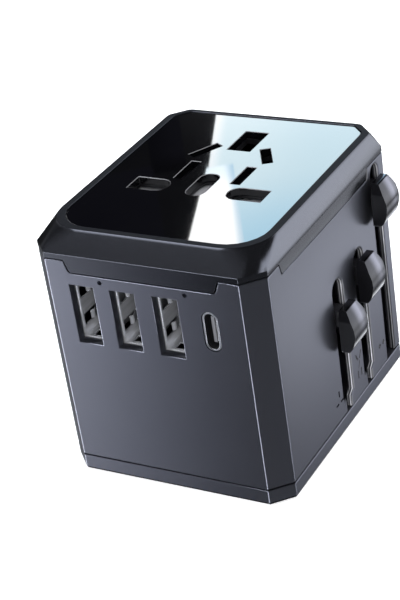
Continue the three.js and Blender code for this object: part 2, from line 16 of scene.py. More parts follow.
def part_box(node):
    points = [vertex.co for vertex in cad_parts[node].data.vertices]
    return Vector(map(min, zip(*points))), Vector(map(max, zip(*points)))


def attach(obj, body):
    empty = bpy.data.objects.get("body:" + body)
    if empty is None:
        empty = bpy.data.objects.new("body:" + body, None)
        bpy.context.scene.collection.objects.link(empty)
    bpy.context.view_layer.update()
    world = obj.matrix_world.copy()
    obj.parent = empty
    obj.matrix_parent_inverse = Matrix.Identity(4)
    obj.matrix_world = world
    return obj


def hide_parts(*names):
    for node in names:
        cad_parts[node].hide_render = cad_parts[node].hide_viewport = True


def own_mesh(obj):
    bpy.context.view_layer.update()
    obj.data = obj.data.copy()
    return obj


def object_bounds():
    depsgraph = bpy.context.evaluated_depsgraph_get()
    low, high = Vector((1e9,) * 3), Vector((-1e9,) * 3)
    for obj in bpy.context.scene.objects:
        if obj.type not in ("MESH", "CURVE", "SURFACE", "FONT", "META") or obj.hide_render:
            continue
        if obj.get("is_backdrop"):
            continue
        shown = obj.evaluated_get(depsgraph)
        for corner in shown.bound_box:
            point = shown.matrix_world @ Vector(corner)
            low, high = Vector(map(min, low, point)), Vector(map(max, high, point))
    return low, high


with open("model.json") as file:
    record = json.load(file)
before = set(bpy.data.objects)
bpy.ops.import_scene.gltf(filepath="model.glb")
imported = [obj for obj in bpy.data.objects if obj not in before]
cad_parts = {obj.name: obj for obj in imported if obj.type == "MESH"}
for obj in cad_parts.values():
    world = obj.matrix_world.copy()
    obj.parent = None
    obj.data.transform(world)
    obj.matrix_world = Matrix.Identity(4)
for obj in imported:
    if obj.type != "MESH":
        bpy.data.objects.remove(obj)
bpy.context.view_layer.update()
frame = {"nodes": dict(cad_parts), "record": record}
nodes = frame["nodes"]

# %% [markdown]
# ## The camera
# The adapter is seen from above its front right corner with a long lens, so that upright edges run
# nearly parallel. A long lens from far away keeps the proportions calm.

# %% Camera
eye = Vector((0.166749, -0.273038, 0.207844))
look = Vector((-0.46842, 0.73509, -0.49012)).normalized()
up = Vector((-0.12823, 0.49230, 0.86093))
right = look.cross(up).normalized()
up = right.cross(look).normalized()
camera_data = bpy.data.cameras.new("studio_camera")
camera_data.lens = 103.33
camera_data.sensor_width = 36.0
camera_data.clip_start = 0.01
camera = bpy.data.objects.new("studio_camera", camera_data)
turn = Matrix((right, up, -look)).transposed().to_4x4()
camera.matrix_world = Matrix.Translation(eye) @ turn
bpy.context.scene.collection.objects.link(camera)
bpy.context.scene.camera = camera
print("camera at", [round(v, 3) for v in eye])

# %% [markdown]
# ## Floor and light
# A plain pale floor carries the adapter. Dark satin plastic shows its light mostly as reflections, so
# the rig is built from two kinds of lamp. Soft area lights do the shading and a faint contact shadow.
# Glowing cards, which only reflections can see, give each face its long gradient, as white boards
# do around a small object on a studio table. The glossy socket panel mirrors four cards of its own.

# %% Floor
def flat_card(name, corners):
    mesh = bpy.data.meshes.new(name)
    mesh.from_pydata([tuple(c) for c in corners], [], [(0, 1, 2, 3)])
    sheet = mesh.uv_layers.new(name="across")
    for i, place in enumerate(((0, 0), (1, 0), (1, 1), (0, 1))):
        sheet.data[i].uv = place
    card = bpy.data.objects.new(name, mesh)
    bpy.context.scene.collection.objects.link(card)
    card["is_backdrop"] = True
    return card


FLOOR_HALF, FLOOR_Z = 3.0, -0.0002
floor_corners = ((-1, -1), (1, -1), (1, 1), (-1, 1))
floor = flat_card("floor", [(x * FLOOR_HALF, y * FLOOR_HALF, FLOOR_Z) for x, y in floor_corners])
floor_look = bpy.data.materials.new("floor_paper")
floor_look.use_nodes = True
paper = floor_look.node_tree.nodes["Principled BSDF"]
paper.inputs["Base Color"].default_value = (0.66, 0.66, 0.67, 1)
paper.inputs["Roughness"].default_value = 0.9
paper.inputs["Specular IOR Level"].default_value = 0.0
paper.inputs["Emission Color"].default_value = (1.0, 1.0, 1.0, 1)
paper.inputs["Emission Strength"].default_value = 0.62
floor.data.materials.append(floor_look)
floor.visible_glossy = False
floor.visible_diffuse = False
floor.visible_shadow = False
print("floor ready")


# %% Soft area lights
def softbox(name, place, target, wide, high, watts, tint=(1, 1, 1)):
    data = bpy.data.lights.new(name, "AREA")
    data.shape = "RECTANGLE"
    data.size, data.size_y = wide, high
    data.energy = watts
    data.color = tint
    lamp = bpy.data.objects.new(name, data)
    aim = (Vector(target) - Vector(place)).normalized()
    lamp.matrix_world = Matrix.Translation(place) @ aim.to_track_quat("-Z", "Y").to_matrix().to_4x4()
    lamp.visible_camera = False
    lamp.visible_glossy = False
    bpy.context.scene.collection.objects.link(lamp)
    return lamp


softbox("port_light", (0.27, -0.55, 0.24), (0, -0.03, 0.035), 0.25, 0.25, 2.6)
softbox("top_light", (0.05, -0.10, 0.80), (0, 0, 0.05), 0.3, 0.3, 3.0)
softbox("key", (0.35, 0.30, 0.55), (0.01, 0, 0.03), 0.5, 0.5, 5.0, (0.98, 0.99, 1.0))
softbox("left_fill", (-0.45, -0.35, 0.35), (0, 0, 0.03), 0.5, 0.5, 2.6, (0.94, 0.96, 1.0))
softbox("back_fill", (-0.25, 0.55, 0.30), (0, 0, 0.03), 0.4, 0.4, 1.6, (0.94, 0.96, 1.0))


# %% Cards that only reflections see
def ramp(tree, source, stops):
    """A colour ramp along one number, from rows of place and colour."""
    node = tree.nodes.new("ShaderNodeValToRGB")
    node.color_ramp.interpolation = "EASE"
    while len(node.color_ramp.elements) < len(stops):
        node.color_ramp.elements.new(0.5)
    for element, (place, colour) in zip(node.color_ramp.elements, stops):
        element.position = place
        element.color = (*colour, 1)
    tree.links.new(source, node.inputs["Fac"])
    return node.outputs["Color"]


def glow_card(name, corners, across, upward, strength):
    """A card that glows with one ramp across times another upward."""
    card = flat_card(name, corners)
    look = bpy.data.materials.new(name)
    look.use_nodes = True
    tree = look.node_tree
    tree.nodes.remove(tree.nodes["Principled BSDF"])
    place = tree.nodes.new("ShaderNodeUVMap")
    place.uv_map = "across"
    split = tree.nodes.new("ShaderNodeSeparateXYZ")
    tree.links.new(place.outputs["UV"], split.inputs[0])
    both = tree.nodes.new("ShaderNodeMix")
    both.data_type = "RGBA"
    both.blend_type = "MULTIPLY"
    both.inputs["Factor"].default_value = 1.0
    tree.links.new(ramp(tree, split.outputs["X"], across), both.inputs["A"])
    tree.links.new(ramp(tree, split.outputs["Y"], upward), both.inputs["B"])
    light = tree.nodes.new("ShaderNodeEmission")
    light.inputs["Strength"].default_value = strength
    tree.links.new(both.outputs["Result"], light.inputs["Color"])
    tree.links.new(light.outputs[0], tree.nodes["Material Output"].inputs["Surface"])
    card.data.materials.append(look)
    card.visible_camera = False
    card.visible_diffuse = False
    card.visible_shadow = False
    card.visible_transmission = False
    return card


BLACK = (0.0, 0.0, 0.0)
front_card = glow_card(
    "front_card", [(-0.150, -0.100, -0.11), (-0.010, -0.100, -0.11), (-0.010, -0.100, 0.07), (-0.150, -0.100, 0.07)],
    [(0.0, (0.30, 0.31, 0.35)), (0.25, (0.55, 0.57, 0.64)), (0.44, (0.93, 0.95, 1.0)), (0.60, (0.50, 0.52, 0.57)),
     (0.76, (0.18, 0.19, 0.22)), (0.97, BLACK)],
    [(0.0, (0.4, 0.4, 0.4)), (0.36, (0.66, 0.66, 0.66)), (0.46, (0.72, 0.72, 0.72)), (0.58, (0.95, 0.95, 0.95)),
     (0.64, (1, 1, 1)), (0.85, (0.15, 0.15, 0.15)), (1.0, BLACK)], 2.75)
right_card = glow_card(
    "right_card", [(0.080, 0.225, -0.14), (0.080, 0.025, -0.14), (0.080, 0.025, -0.004), (0.080, 0.225, -0.004)],
    [(0.0, (0.92, 0.95, 1.0)), (0.35, (0.86, 0.89, 0.96)), (0.80, (0.92, 0.95, 1.0)), (1.0, BLACK)],
    [(0.0, (0.06, 0.06, 0.06)), (0.30, (0.14, 0.14, 0.15)), (0.55, (0.34, 0.34, 0.36)), (0.88, (1, 1, 1)),
     (1.0, (1, 1, 1))], 1.8)


def bearing(azimuth, elevation, distance):
    """A point seen from the middle of the scene, by its angle from +Y towards +X and its height angle."""
    a, e = math.radians(azimuth), math.radians(elevation)
    return Vector((math.sin(a) * math.cos(e), math.cos(a) * math.cos(e), math.sin(e))) * distance


def sky_card(name, left, right, low, high, across, upward, strength, lean=0.0, distance=12.0):
    """A far card given by angles. lean slants its left edge."""
    corners = [bearing(left + lean, low, distance), bearing(right, low, distance),
               bearing(right, high, distance), bearing(left - lean, high, distance)]
    return glow_card(name, corners, across, upward, strength)


sky_card("panel_sky", -33.24, -6.0, 15.0, 42.0,
         [(0.0, (0.86, 0.93, 0.98)), (0.02, (0.64, 0.80, 0.88)), (0.16, (0.57, 0.75, 0.85)),
          (0.5, (0.62, 0.78, 0.90)), (1.0, (0.3, 0.33, 0.36))],
         [(0.0, (0.6, 0.6, 0.6)), (0.28, (1.04, 0.95, 0.91)), (0.38, (0.92, 0.90, 0.88)), (0.48, (0.66, 0.80, 0.88)),
          (1.0, (0.3, 0.3, 0.3))], 7.4, lean=5.0)
sky_card("panel_white", -33.71, -30.5, 25.3, 34.0,
         [(0.0, (1.0, 1.0, 1.0)), (0.58, (1.0, 1.0, 1.0)), (1.0, (0.50, 0.64, 0.74))],
         [(0.0, (0.72, 0.82, 0.88)), (0.12, (1.0, 1.0, 1.0)), (1.0, (1.0, 1.0, 1.0))], 8.0, lean=2.2, distance=11.0)
for name, left, right, low, high in (("dim_stripe", -33.55, -32.25, 18.0, 25.2),
                                     ("dim_left", -46.0, -33.5, 24.9, 40.0)):
    sky_card(name, left, right, low, high, [(0.0, (0.2, 0.2, 0.3)), (1.0, (0.8, 0.8, 1.0))],
             [(0.0, (0.8, 0.8, 1.0)), (0.9, (0.8, 0.8, 1.0)), (1.0, BLACK)], 0.02, distance=12.5)
print("cards:", ["front_card", "right_card", "panel_sky", "panel_white", "dim_stripe", "dim_left"])

# %% [markdown]
# ## The world
# The world has three faces. Seen directly it is white, matt surfaces get a weak even light from it,
# and reflections see a dark room with soft bright patches in it. Each patch is placed for one edge,
# slope or side, and the narrow ones make the thin roundings light up as fine lines.

# %% World
world = bpy.data.worlds.new("studio")
bpy.context.scene.world = world
world.use_nodes = True
tree = world.node_tree
tree.nodes.clear()
out = tree.nodes.new("ShaderNodeOutputWorld")
path = tree.nodes.new("ShaderNodeLightPath")
place = tree.nodes.new("ShaderNodeTexCoord")


def math_node(kind, a, b):
    node = tree.nodes.new("ShaderNodeMath")
    node.operation = kind
    for i, v in enumerate((a, b)):
        if isinstance(v, (int, float)):
            node.inputs[i].default_value = v
        else:
            tree.links.new(v, node.inputs[i])
    return node.outputs[0]


def glow(direction, inner, outer, strength):
    """A round bright patch in one direction, fading out between two angles in degrees."""
    dot = tree.nodes.new("ShaderNodeVectorMath")
    dot.operation = "DOT_PRODUCT"
    dot.inputs[1].default_value = Vector(direction).normalized()
    tree.links.new(place.outputs["Generated"], dot.inputs[0])
    soft = tree.nodes.new("ShaderNodeMapRange")
    soft.interpolation_type = "SMOOTHSTEP"
    soft.inputs["From Min"].default_value = math.cos(math.radians(outer))
    soft.inputs["From Max"].default_value = math.cos(math.radians(inner))
    soft.inputs["To Max"].default_value = strength
    tree.links.new(dot.outputs["Value"], soft.inputs["Value"])
    return soft.outputs["Result"]


def background(strength, colour):
    node = tree.nodes.new("ShaderNodeBackground")
    node.inputs["Color"].default_value = (*colour, 1)
    if isinstance(strength, (int, float)):
        node.inputs["Strength"].default_value = strength
    else:
        tree.links.new(strength, node.inputs["Strength"])
    return node.outputs[0]


def choose(factor, a, b):
    """Shader a where the factor is 0 and shader b where it is 1."""
    node = tree.nodes.new("ShaderNodeMixShader")
    for i, v in enumerate((factor, a, b)):
        tree.links.new(v, node.inputs[i])
    return node.outputs[0]


dark = 0.012
total = math_node("ADD", glow((0, 0, -1), 40, 88, 0.22), dark)
glows = (
    ((0.70, 0.70, 0.02), 6, 30, 4.6),        # the bezel's right slope
    ((-0.2, 0.97, 0.05), 8, 30, 0.8),        # faces seen from behind
    ((-0.95, -0.2, -0.1), 10, 45, 0.5),      # faces seen from the left
    ((0.202, -0.823, -0.53), 5, 13, 11.0),   # the edge between front and corner
    ((0.838, 0.195, -0.49), 4, 10, 8.0),     # the edge between corner and right side
    ((-0.90, -0.30, -0.49), 6, 16, 14.0),    # the edge between front and left corner
    ((-0.468, -0.835, 0.26), 6, 14, 20.0),   # the ridge above the front
    ((-0.468, -0.633, 0.597), 5, 18, 6.0),   # the front of the lip
    ((-0.468, -0.336, 0.816), 8, 40, 0.35),  # the bezel's front slope
    ((-0.09, 0.735, -0.67), 5, 14, 1.6),     # lower edges of the knobs
)
for direction, inner, outer, strength in glows:
    total = math_node("ADD", total, glow(direction, inner, outer, strength))
shine = background(total, (0.92, 0.95, 1.0))
soft = background(0.22, (0.88, 0.93, 1.0))
white = background(1.0, (1, 1, 1))
tree.links.new(choose(path.outputs["Is Camera Ray"], choose(path.outputs["Is Glossy Ray"], soft, shine), white),
               out.inputs["Surface"])
bpy.context.scene.view_settings.view_transform = "Standard"
print("world and view set")

# %% [markdown]
# ## Finishes
# Every finish is one Principled shader with a little procedural life: a slow change in colour, and a
# fine grain in the roughness and, where it has one, the bump. Values that are the same everywhere are
# set on the shader. On one wall of each track and on the knobs, a row of tones laid out by position
# then takes the place of the slow change in colour. These tones are painted light: painted shade and
# painted highlight lines on the track walls, a painted highlight band and painted shade on the knobs.

# %% A helper that builds a finish
def finish(name, colour, other, rough, metal=0.0, grain=1500.0, bump=0.02, patch=60.0, spread=0.06,
           stretch=(1, 1, 1), **sockets):
    look = bpy.data.materials.new(name)
    look.use_nodes = True
    tree = look.node_tree
    shader = tree.nodes["Principled BSDF"]
    shader.inputs["Metallic"].default_value = metal
    for socket, value in sockets.items():
        shader.inputs[socket.replace("_", " ")].default_value = value
    place = tree.nodes.new("ShaderNodeTexCoord")
    mapping = tree.nodes.new("ShaderNodeMapping")
    mapping.inputs["Scale"].default_value = stretch
    tree.links.new(place.outputs["Object"], mapping.inputs["Vector"])
    fine = tree.nodes.new("ShaderNodeTexNoise")
    fine.inputs["Scale"].default_value = grain
    fine.inputs["Detail"].default_value = 3
    broad = tree.nodes.new("ShaderNodeTexNoise")
    broad.inputs["Scale"].default_value = patch
    broad.inputs["Detail"].default_value = 2
    for noise in (fine, broad):
        tree.links.new(mapping.outputs[0], noise.inputs["Vector"])
    colours = tree.nodes.new("ShaderNodeMix")
    colours.data_type = "RGBA"
    colours.inputs["A"].default_value = (*colour, 1)
    colours.inputs["B"].default_value = (*other, 1)
    tree.links.new(broad.outputs["Fac"], colours.inputs["Factor"])
    tree.links.new(colours.outputs["Result"], shader.inputs["Base Color"])
    roughs = tree.nodes.new("ShaderNodeMapRange")
    roughs.inputs["To Min"].default_value = max(0.0, rough - spread)
    roughs.inputs["To Max"].default_value = rough + spread
    tree.links.new(fine.outputs["Fac"], roughs.inputs["Value"])
    tree.links.new(roughs.outputs["Result"], shader.inputs["Roughness"])
    dents = tree.nodes.new("ShaderNodeBump")
    dents.inputs["Strength"].default_value = bump
    dents.inputs["Distance"].default_value = 0.0002
    tree.links.new(fine.outputs["Fac"], dents.inputs["Height"])
    tree.links.new(dents.outputs["Normal"], shader.inputs["Normal"])
    return look


# %% The finishes
looks = {
    "housing_satin": finish("housing_satin", (0.122, 0.126, 0.152), (0.136, 0.140, 0.166), 0.30, 0.92,
                            bump=0.0, spread=0.02),
    "bezel_gloss": finish("bezel_gloss", (0.050, 0.052, 0.062), (0.058, 0.060, 0.070), 0.21, 0.92, bump=0.0),
    # matt black for the bezel's lip, also used as a painted contact shadow on the base's under-edge
    "lip_black": finish("lip_black", (0.006, 0.006, 0.008), (0.010, 0.010, 0.012), 0.55, bump=0.01,
                        Specular_IOR_Level=0.03),
    "knob_satin": finish("knob_satin", (0.048, 0.049, 0.058), (0.056, 0.057, 0.066), 0.16, 0.9, bump=0.0,
                         spread=0.03),
    # near-black painted shade for the knob faces towards the ports
    "knob_dark": finish("knob_dark", (0.005, 0.005, 0.006), (0.008, 0.008, 0.010), 0.35, 0.0, bump=0.0,
                        Specular_IOR_Level=0.25),
    # light grey painted highlight for the rounding below those faces
    "knob_rim": finish("knob_rim", (0.40, 0.41, 0.44), (0.50, 0.51, 0.54), 0.25, 0.6, bump=0.0),
    "panel_gloss": finish("panel_gloss", (0.001, 0.001, 0.0015), (0.002, 0.002, 0.0025), 0.02, spread=0.01,
                          bump=0.0, IOR=1.7),
    # painted shade and painted highlight lines for the track walls, laid out by depth below
    "track_edge": finish("track_edge", (0.26, 0.26, 0.28), (0.36, 0.36, 0.38), 0.3, 0.2, stretch=(1, 1, 0.1)),
    # lighter grey for the panel's chamfers, a painted highlight
    "cut_edge": finish("cut_edge", (0.16, 0.16, 0.17), (0.20, 0.20, 0.21), 0.35, 0.5, bump=0.01),
    "dark_steel": finish("dark_steel", (0.030, 0.030, 0.034), (0.045, 0.045, 0.050), 0.35, 0.6),
    "tongue_grey": finish("tongue_grey", (0.20, 0.20, 0.22), (0.24, 0.24, 0.26), 0.4, bump=0.01),
    "inner_black": finish("inner_black", (0.008, 0.008, 0.010), (0.014, 0.014, 0.016), 0.45, bump=0.02),
    "sleeve_black": finish("sleeve_black", (0.012, 0.012, 0.014), (0.020, 0.020, 0.022), 0.4, bump=0.01),
    "shutter_grey": finish("shutter_grey", (0.20, 0.20, 0.215), (0.24, 0.24, 0.255), 0.5, bump=0.01),
    "nickel_shell": finish("nickel_shell", (0.42, 0.43, 0.46), (0.82, 0.83, 0.87), 0.22, 0.6, grain=500.0,
                           patch=900.0, stretch=(1, 0.06, 1), bump=0.02),
    "spring_steel": finish("spring_steel", (0.52, 0.53, 0.56), (0.62, 0.63, 0.66), 0.3, 1.0),
    "screw_steel": finish("screw_steel", (0.42, 0.43, 0.46), (0.52, 0.53, 0.56), 0.35, 1.0),
    "pin_brass": finish("pin_brass", (0.74, 0.58, 0.30), (0.82, 0.66, 0.38), 0.24, 1.0, stretch=(1, 1, 0.1)),
    "pin_nickel": finish("pin_nickel", (0.70, 0.71, 0.73), (0.80, 0.81, 0.83), 0.2, 1.0, stretch=(1, 1, 0.1)),
    "contact_brass": finish("contact_brass", (0.66, 0.48, 0.22), (0.74, 0.56, 0.30), 0.35, 1.0),
    "board_green": finish("board_green", (0.015, 0.12, 0.05), (0.03, 0.18, 0.08), 0.35),
    "ferrite": finish("ferrite", (0.035, 0.035, 0.038), (0.06, 0.06, 0.064), 0.6, bump=0.2),
    "winding": finish("winding", (0.72, 0.48, 0.06), (0.80, 0.58, 0.10), 0.45),
    "capacitor_can": finish("capacitor_can", (0.03, 0.06, 0.20), (0.05, 0.09, 0.26), 0.35),
    "chip_black": finish("chip_black", (0.012, 0.012, 0.014), (0.02, 0.02, 0.022), 0.5, bump=0.1),
    "tongue_black": finish("tongue_black", (0.05, 0.05, 0.056), (0.07, 0.07, 0.076), 0.40, bump=0.01),
    "light_pipe_clear": finish("light_pipe_clear", (0.5, 0.62, 0.85), (0.6, 0.7, 0.9), 0.12),
    "fuse_body": finish("fuse_body", (0.78, 0.77, 0.72), (0.84, 0.83, 0.79), 0.3),
}


def banded(look, source, low, high, stops):
    """Replaces the base colour by a row of tones laid out along one number, from low to high."""
    tree = look.node_tree
    span = tree.nodes.new("ShaderNodeMapRange")
    span.inputs["From Min"].default_value = low
    span.inputs["From Max"].default_value = high
    tree.links.new(source, span.inputs["Value"])
    tree.links.new(ramp(tree, span.outputs["Result"], stops), tree.nodes["Principled BSDF"].inputs["Base Color"])


WALL_INNER_X, WALL_OUTER_X = 0.0244, 0.0261
# The track walls get painted light laid out by depth: painted shade deep in the track and two painted highlight lines
# nearer the rim.
tree = looks["track_edge"].node_tree
place = tree.nodes.new("ShaderNodeTexCoord")
apart = tree.nodes.new("ShaderNodeSeparateXYZ")
tree.links.new(place.outputs["Object"], apart.inputs[0])
banded(looks["track_edge"], apart.outputs["X"], WALL_INNER_X, WALL_OUTER_X,
       [(0.0, (0.02, 0.02, 0.02)), (0.36, (0.05, 0.05, 0.055)), (0.42, (0.5, 0.5, 0.53)),
        (0.48, (0.06, 0.06, 0.065)), (0.66, (0.07, 0.07, 0.08)), (0.74, (0.8, 0.8, 0.84)),
        (0.82, (0.10, 0.10, 0.11)), (1.0, (0.24, 0.24, 0.26))])
# The knobs' tones along "across" are painted light: painted shade near the ports and at the far side, a painted
# highlight band between.
across = looks["knob_satin"].node_tree.nodes.new("ShaderNodeAttribute")
across.attribute_name = "across"
banded(looks["knob_satin"], across.outputs["Fac"], 0.0, 1.0,
       [(0.0, (0.008, 0.008, 0.010)), (0.32, (0.012, 0.012, 0.015)), (0.70, (0.09, 0.09, 0.108)),
        (0.85, (0.05, 0.05, 0.06)), (1.0, (0.015, 0.015, 0.018))])

slot_of = {row["node"]: row["material_slot"] for row in frame["record"]["subparts"]}
for name, node in nodes.items():
    node.data.materials.clear()
    node.data.materials.append(looks[slot_of[name]])
print("finishes:", len(looks))

# %% [markdown]
# ## Rounded edges
# Moulded plastic never has knife edges. A copy of the CAD piece is welded, its flat faces are joined
# and its sharp edges get a small rounding, which catches the thin bright line of light. A Bevel
# modifier does this on any shape, and edge weights let one edge be rounder than the next. Weighted
# normals keep the large faces flat. Where a mark is sunk into a wall, a Boolean cut comes in between.

# %% Helpers for new pieces
body_of_node = {n: b for b, members in frame["record"]["behaviour"]["bodies"].items() for n in members}
MM = 0.001
SAME_POINT = 2e-6
FLAT_ANGLE, SHARP_ANGLE = math.radians(0.5), math.radians(25)


def hand_over(piece, names, extra=()):
    """Hides the CAD nodes the piece stands for, hangs it on their body and gives it their slot's finish if it has
    none, then the extra finishes.
    """
    if not piece.data.materials:
        piece.data.materials.append(looks[slot_of[names[0]]])
    for look in extra:
        piece.data.materials.append(looks[look])
    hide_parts(*names)
    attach(piece, body_of_node[names[0]])
    return piece


def put_in_scene(name, mesh):
    piece = bpy.data.objects.new(name, mesh)
    bpy.context.scene.collection.objects.link(piece)
    return piece


def bake(piece):
    """Turns the piece with its modifiers into a plain mesh."""
    bpy.context.view_layer.update()
    ready = bpy.context.evaluated_depsgraph_get()
    solid = bpy.data.meshes.new_from_object(
        piece.evaluated_get(ready), preserve_all_data_layers=True, depsgraph=ready)
    piece.modifiers.clear()
    piece.data = solid
    return piece


def welded(names, is_wide=None, thin=0.4):
    """One clean mesh from CAD nodes: doubles merged, flat faces joined, sharp edges given a weight.

    is_wide gets the two ends of an edge in millimetres. It answers True for the full rounding, False
    for the thin one and None for an edge that stays as sharp as it is.
    """
    work = bmesh.new()
    for name in names:
        work.from_mesh(nodes[name].data)
    bmesh.ops.remove_doubles(work, verts=work.verts, dist=SAME_POINT)
    bmesh.ops.dissolve_limit(
        work, angle_limit=FLAT_ANGLE, verts=work.verts, edges=work.edges, delimit=set())
    weight = work.edges.layers.float.new("bevel_weight_edge")
    for edge in work.edges:
        if len(edge.link_faces) == 2 and edge.calc_face_angle(0) > SHARP_ANGLE:
            ends = [v.co / MM for v in edge.verts]
            kind = is_wide(*ends) if is_wide else False
            edge[weight] = 0.0 if kind is None else 1.0 if kind else thin
            edge.smooth = kind is not None
    for face in work.faces:
        face.smooth = True
    mesh = bpy.data.meshes.new(names[0] + "_rounded")
    work.to_mesh(mesh)
    work.free()
    mesh.materials.clear()
    return mesh


def rounded_copy(name, width, segments=2, is_wide=None, cutter=None, extra=(), flat=False, thin=0.4, clamp=True):
    """A CAD piece with rounded edges. width is that of a thin rounding, the full one is width / thin."""
    piece = put_in_scene(name + "_rounded", welded([name], is_wide, thin))
    bevel = piece.modifiers.new("rounding", "BEVEL")
    bevel.width = width / thin
    bevel.segments = segments
    bevel.limit_method = "WEIGHT"
    bevel.use_clamp_overlap = clamp
    bevel.miter_outer = "MITER_SHARP" if flat else "MITER_ARC"
    if cutter:
        cut = piece.modifiers.new("cut", "BOOLEAN")
        cut.operation = "DIFFERENCE"
        cut.solver = "EXACT"
        cut.object = cutter
    if flat:
        piece.data.shade_flat()
    else:
        even = piece.modifiers.new("even_shading", "WEIGHTED_NORMAL")
        even.mode = "FACE_AREA"
        even.keep_sharp = True
        even.weight = 80
    piece.data.materials.append(looks[slot_of[name]])
    bake(piece)
    return hand_over(piece, [name], extra)


print("helpers ready")

# %% [markdown]
# ## The housing
# The housing is one tube with the ports and slider tracks cut into it. Next to each track a sunk mark
# shows which pins it moves: three bars for the UK set; two slanted bars, a short stroke and two
# upright bars for the Australian and US blades; two dots for the European pins. The marks are cut
# with a Boolean, since they are really sunk in the wall. The rims of the tracks are rounder than the
# other outer edges, and nothing is rounded inside the tube.

# %% Solid shapes from outlines
def prism(work, outline, axis, start, end):
    """Adds a closed prism. The outline is in the two other axes, all lengths are in millimetres."""

    def at(point, depth):
        a, b = point
        return {"x": (depth, a, b), "y": (a, depth, b), "z": (a, b, depth)}[axis]

    near = [work.verts.new([MM * c for c in at(p, start)]) for p in outline]
    far = [work.verts.new([MM * c for c in at(p, end)]) for p in outline]
    count = len(outline)
    faces = [work.faces.new(near), work.faces.new(list(reversed(far)))]
    for i in range(count):
        j = (i + 1) % count
        faces.append(work.faces.new((near[j], near[i], far[i], far[j])))
    bmesh.ops.recalc_face_normals(work, faces=faces)


def box_outline(a, b, wide, tall, turn=0.0):
    c, s = math.cos(math.radians(turn)), math.sin(math.radians(turn))
    corners = ((-wide / 2, -tall / 2), (wide / 2, -tall / 2), (wide / 2, tall / 2), (-wide / 2, tall / 2))
    return [(a + c * u - s * v, b + s * u + c * v) for u, v in corners]


def disc_outline(a, b, radius, steps=16):
    return [(a + radius * math.cos(2 * math.pi * i / steps), b + radius * math.sin(2 * math.pi * i / steps))
            for i in range(steps)]


def mesh_of(work, name):
    mesh = bpy.data.meshes.new(name)
    work.to_mesh(mesh)
    work.free()
    return mesh


print("outline tools ready")

# %% Sunk marks and the body shell
marks = bmesh.new()
FACE_X, SUNK = 26.0, 0.3
shapes = [
    # three bars beside the UK track
    box_outline(-4.4, 10.3, 0.5, 1.5), box_outline(-5.5, 8.2, 1.3, 0.5), box_outline(-3.3, 8.2, 1.3, 0.5),
    # two slanted bars, a short stroke and two upright bars beside the middle track
    box_outline(5.5, 13.3, 0.5, 1.9, 28), box_outline(7.3, 13.3, 0.5, 1.9, -28), box_outline(6.4, 11.2, 1.9, 0.4, 60),
    box_outline(5.6, 9.0, 0.5, 1.9), box_outline(7.2, 9.0, 0.5, 1.9),
    # two dots beside the European track
    disc_outline(17.2, 9.2, 0.55), disc_outline(19.2, 9.2, 0.55)]
for shape in shapes:
    prism(marks, shape, "x", FACE_X - SUNK, FACE_X + 1)
mark_cutter = put_in_scene("mark_cutter", mesh_of(marks, "mark_cutter"))


def on_outside(v):
    """True on the outer walls and the cut corners of the tube, with a hair of slack."""
    return abs(v.x) > 25.98 or abs(v.y) > 31.68 or abs(v.x) + abs(v.y) > 53.45


SHORT_EDGE = 0.35
TRACKS_Y, TRACKS_Z = (-2.3, 25.1), (4.5, 50.9)
USB_C_X, USB_C_Z = (12, 17), (33, 46)


def within(value, limits):
    return limits[0] < value < limits[1]


def on_track_rim(a, b):
    """True on the rims of the tracks and False on the other outer edges.

    None, for an edge left sharp, inside the tube, on very short edges, round the USB-C opening and on
    any other edge in the middle of the right wall.
    """
    middle = (a + b) / 2
    if not (on_outside(a) and on_outside(b) and on_outside(middle)) or (a - b).length < SHORT_EDGE:
        return None
    if middle.y < -31.6 and within(middle.x, USB_C_X) and within(middle.z, USB_C_Z):
        return None
    if min(a.x, b.x) > 25.9 and abs(a.y) < 26 and abs(b.y) < 26:
        return True if within(middle.y, TRACKS_Y) and within(middle.z, TRACKS_Z) else None
    return False


shell_piece = rounded_copy("body_shell", 0.00022, 2, on_track_rim, mark_cutter, extra=("track_edge",),
                           clamp=False)
bpy.data.objects.remove(mark_cutter)
# The walls of the tracks that look towards the ports take the painted shade and painted highlight lines.
for face in shell_piece.data.polygons:  # the walls of the tracks that look towards the ports
    x, y, z = face.center / MM
    if 24.6 < x < 25.95 and -2.5 < y < 25.2 and 4 < z < 51.2 and face.normal.y < -0.35:
        face.material_index = 1
print("body shell faces:", len(shell_piece.data.polygons), "marks:", len(shapes))

# %% [markdown]
# ## Bezel, base cover and socket panel
# The bezel is glossier than the body and its flat lip is matt black, so the lip gets a second
# material by height and direction of its faces. The slanted under-edge of the base gets the same matt
# black, picked the same way, as a painted contact shadow. The panel's edges get one narrow chamfer
# instead of a rounding, in a lighter grey that is a painted highlight and shows them as thin light
# lines. Its top is then made exactly flat and split into well-shaped triangles, since a mirror shows
# the smallest tilt.

# %% Bezel, base and panel
LIP_Z, FOOT_Z = 0.05628, 0.0008
NEARLY_AT_TOP = 4e-6


def on_base_rim(a, b):
    """Only the outer edges are rounded."""
    return False if on_outside(a) and on_outside(b) and on_outside((a + b) / 2) else None


bezel = rounded_copy("top_bezel", 0.00032, 3, extra=("lip_black",))
bezel.data.materials[0] = looks["bezel_gloss"]
for face in bezel.data.polygons:
    if face.center.z > LIP_Z and face.normal.z > 0.93:
        face.material_index = 1
base = rounded_copy("base_cover", 0.00022, 2, on_base_rim, extra=("lip_black",), clamp=False)
# the slanted under-edge of the foot gets the matt black as a painted contact shadow
for face in base.data.polygons:
    if face.center.z < FOOT_Z and -0.9 < face.normal.z < -0.2:
        face.material_index = 1
panel = rounded_copy("socket_panel", 0.00018, 1, extra=("cut_edge",), flat=True)
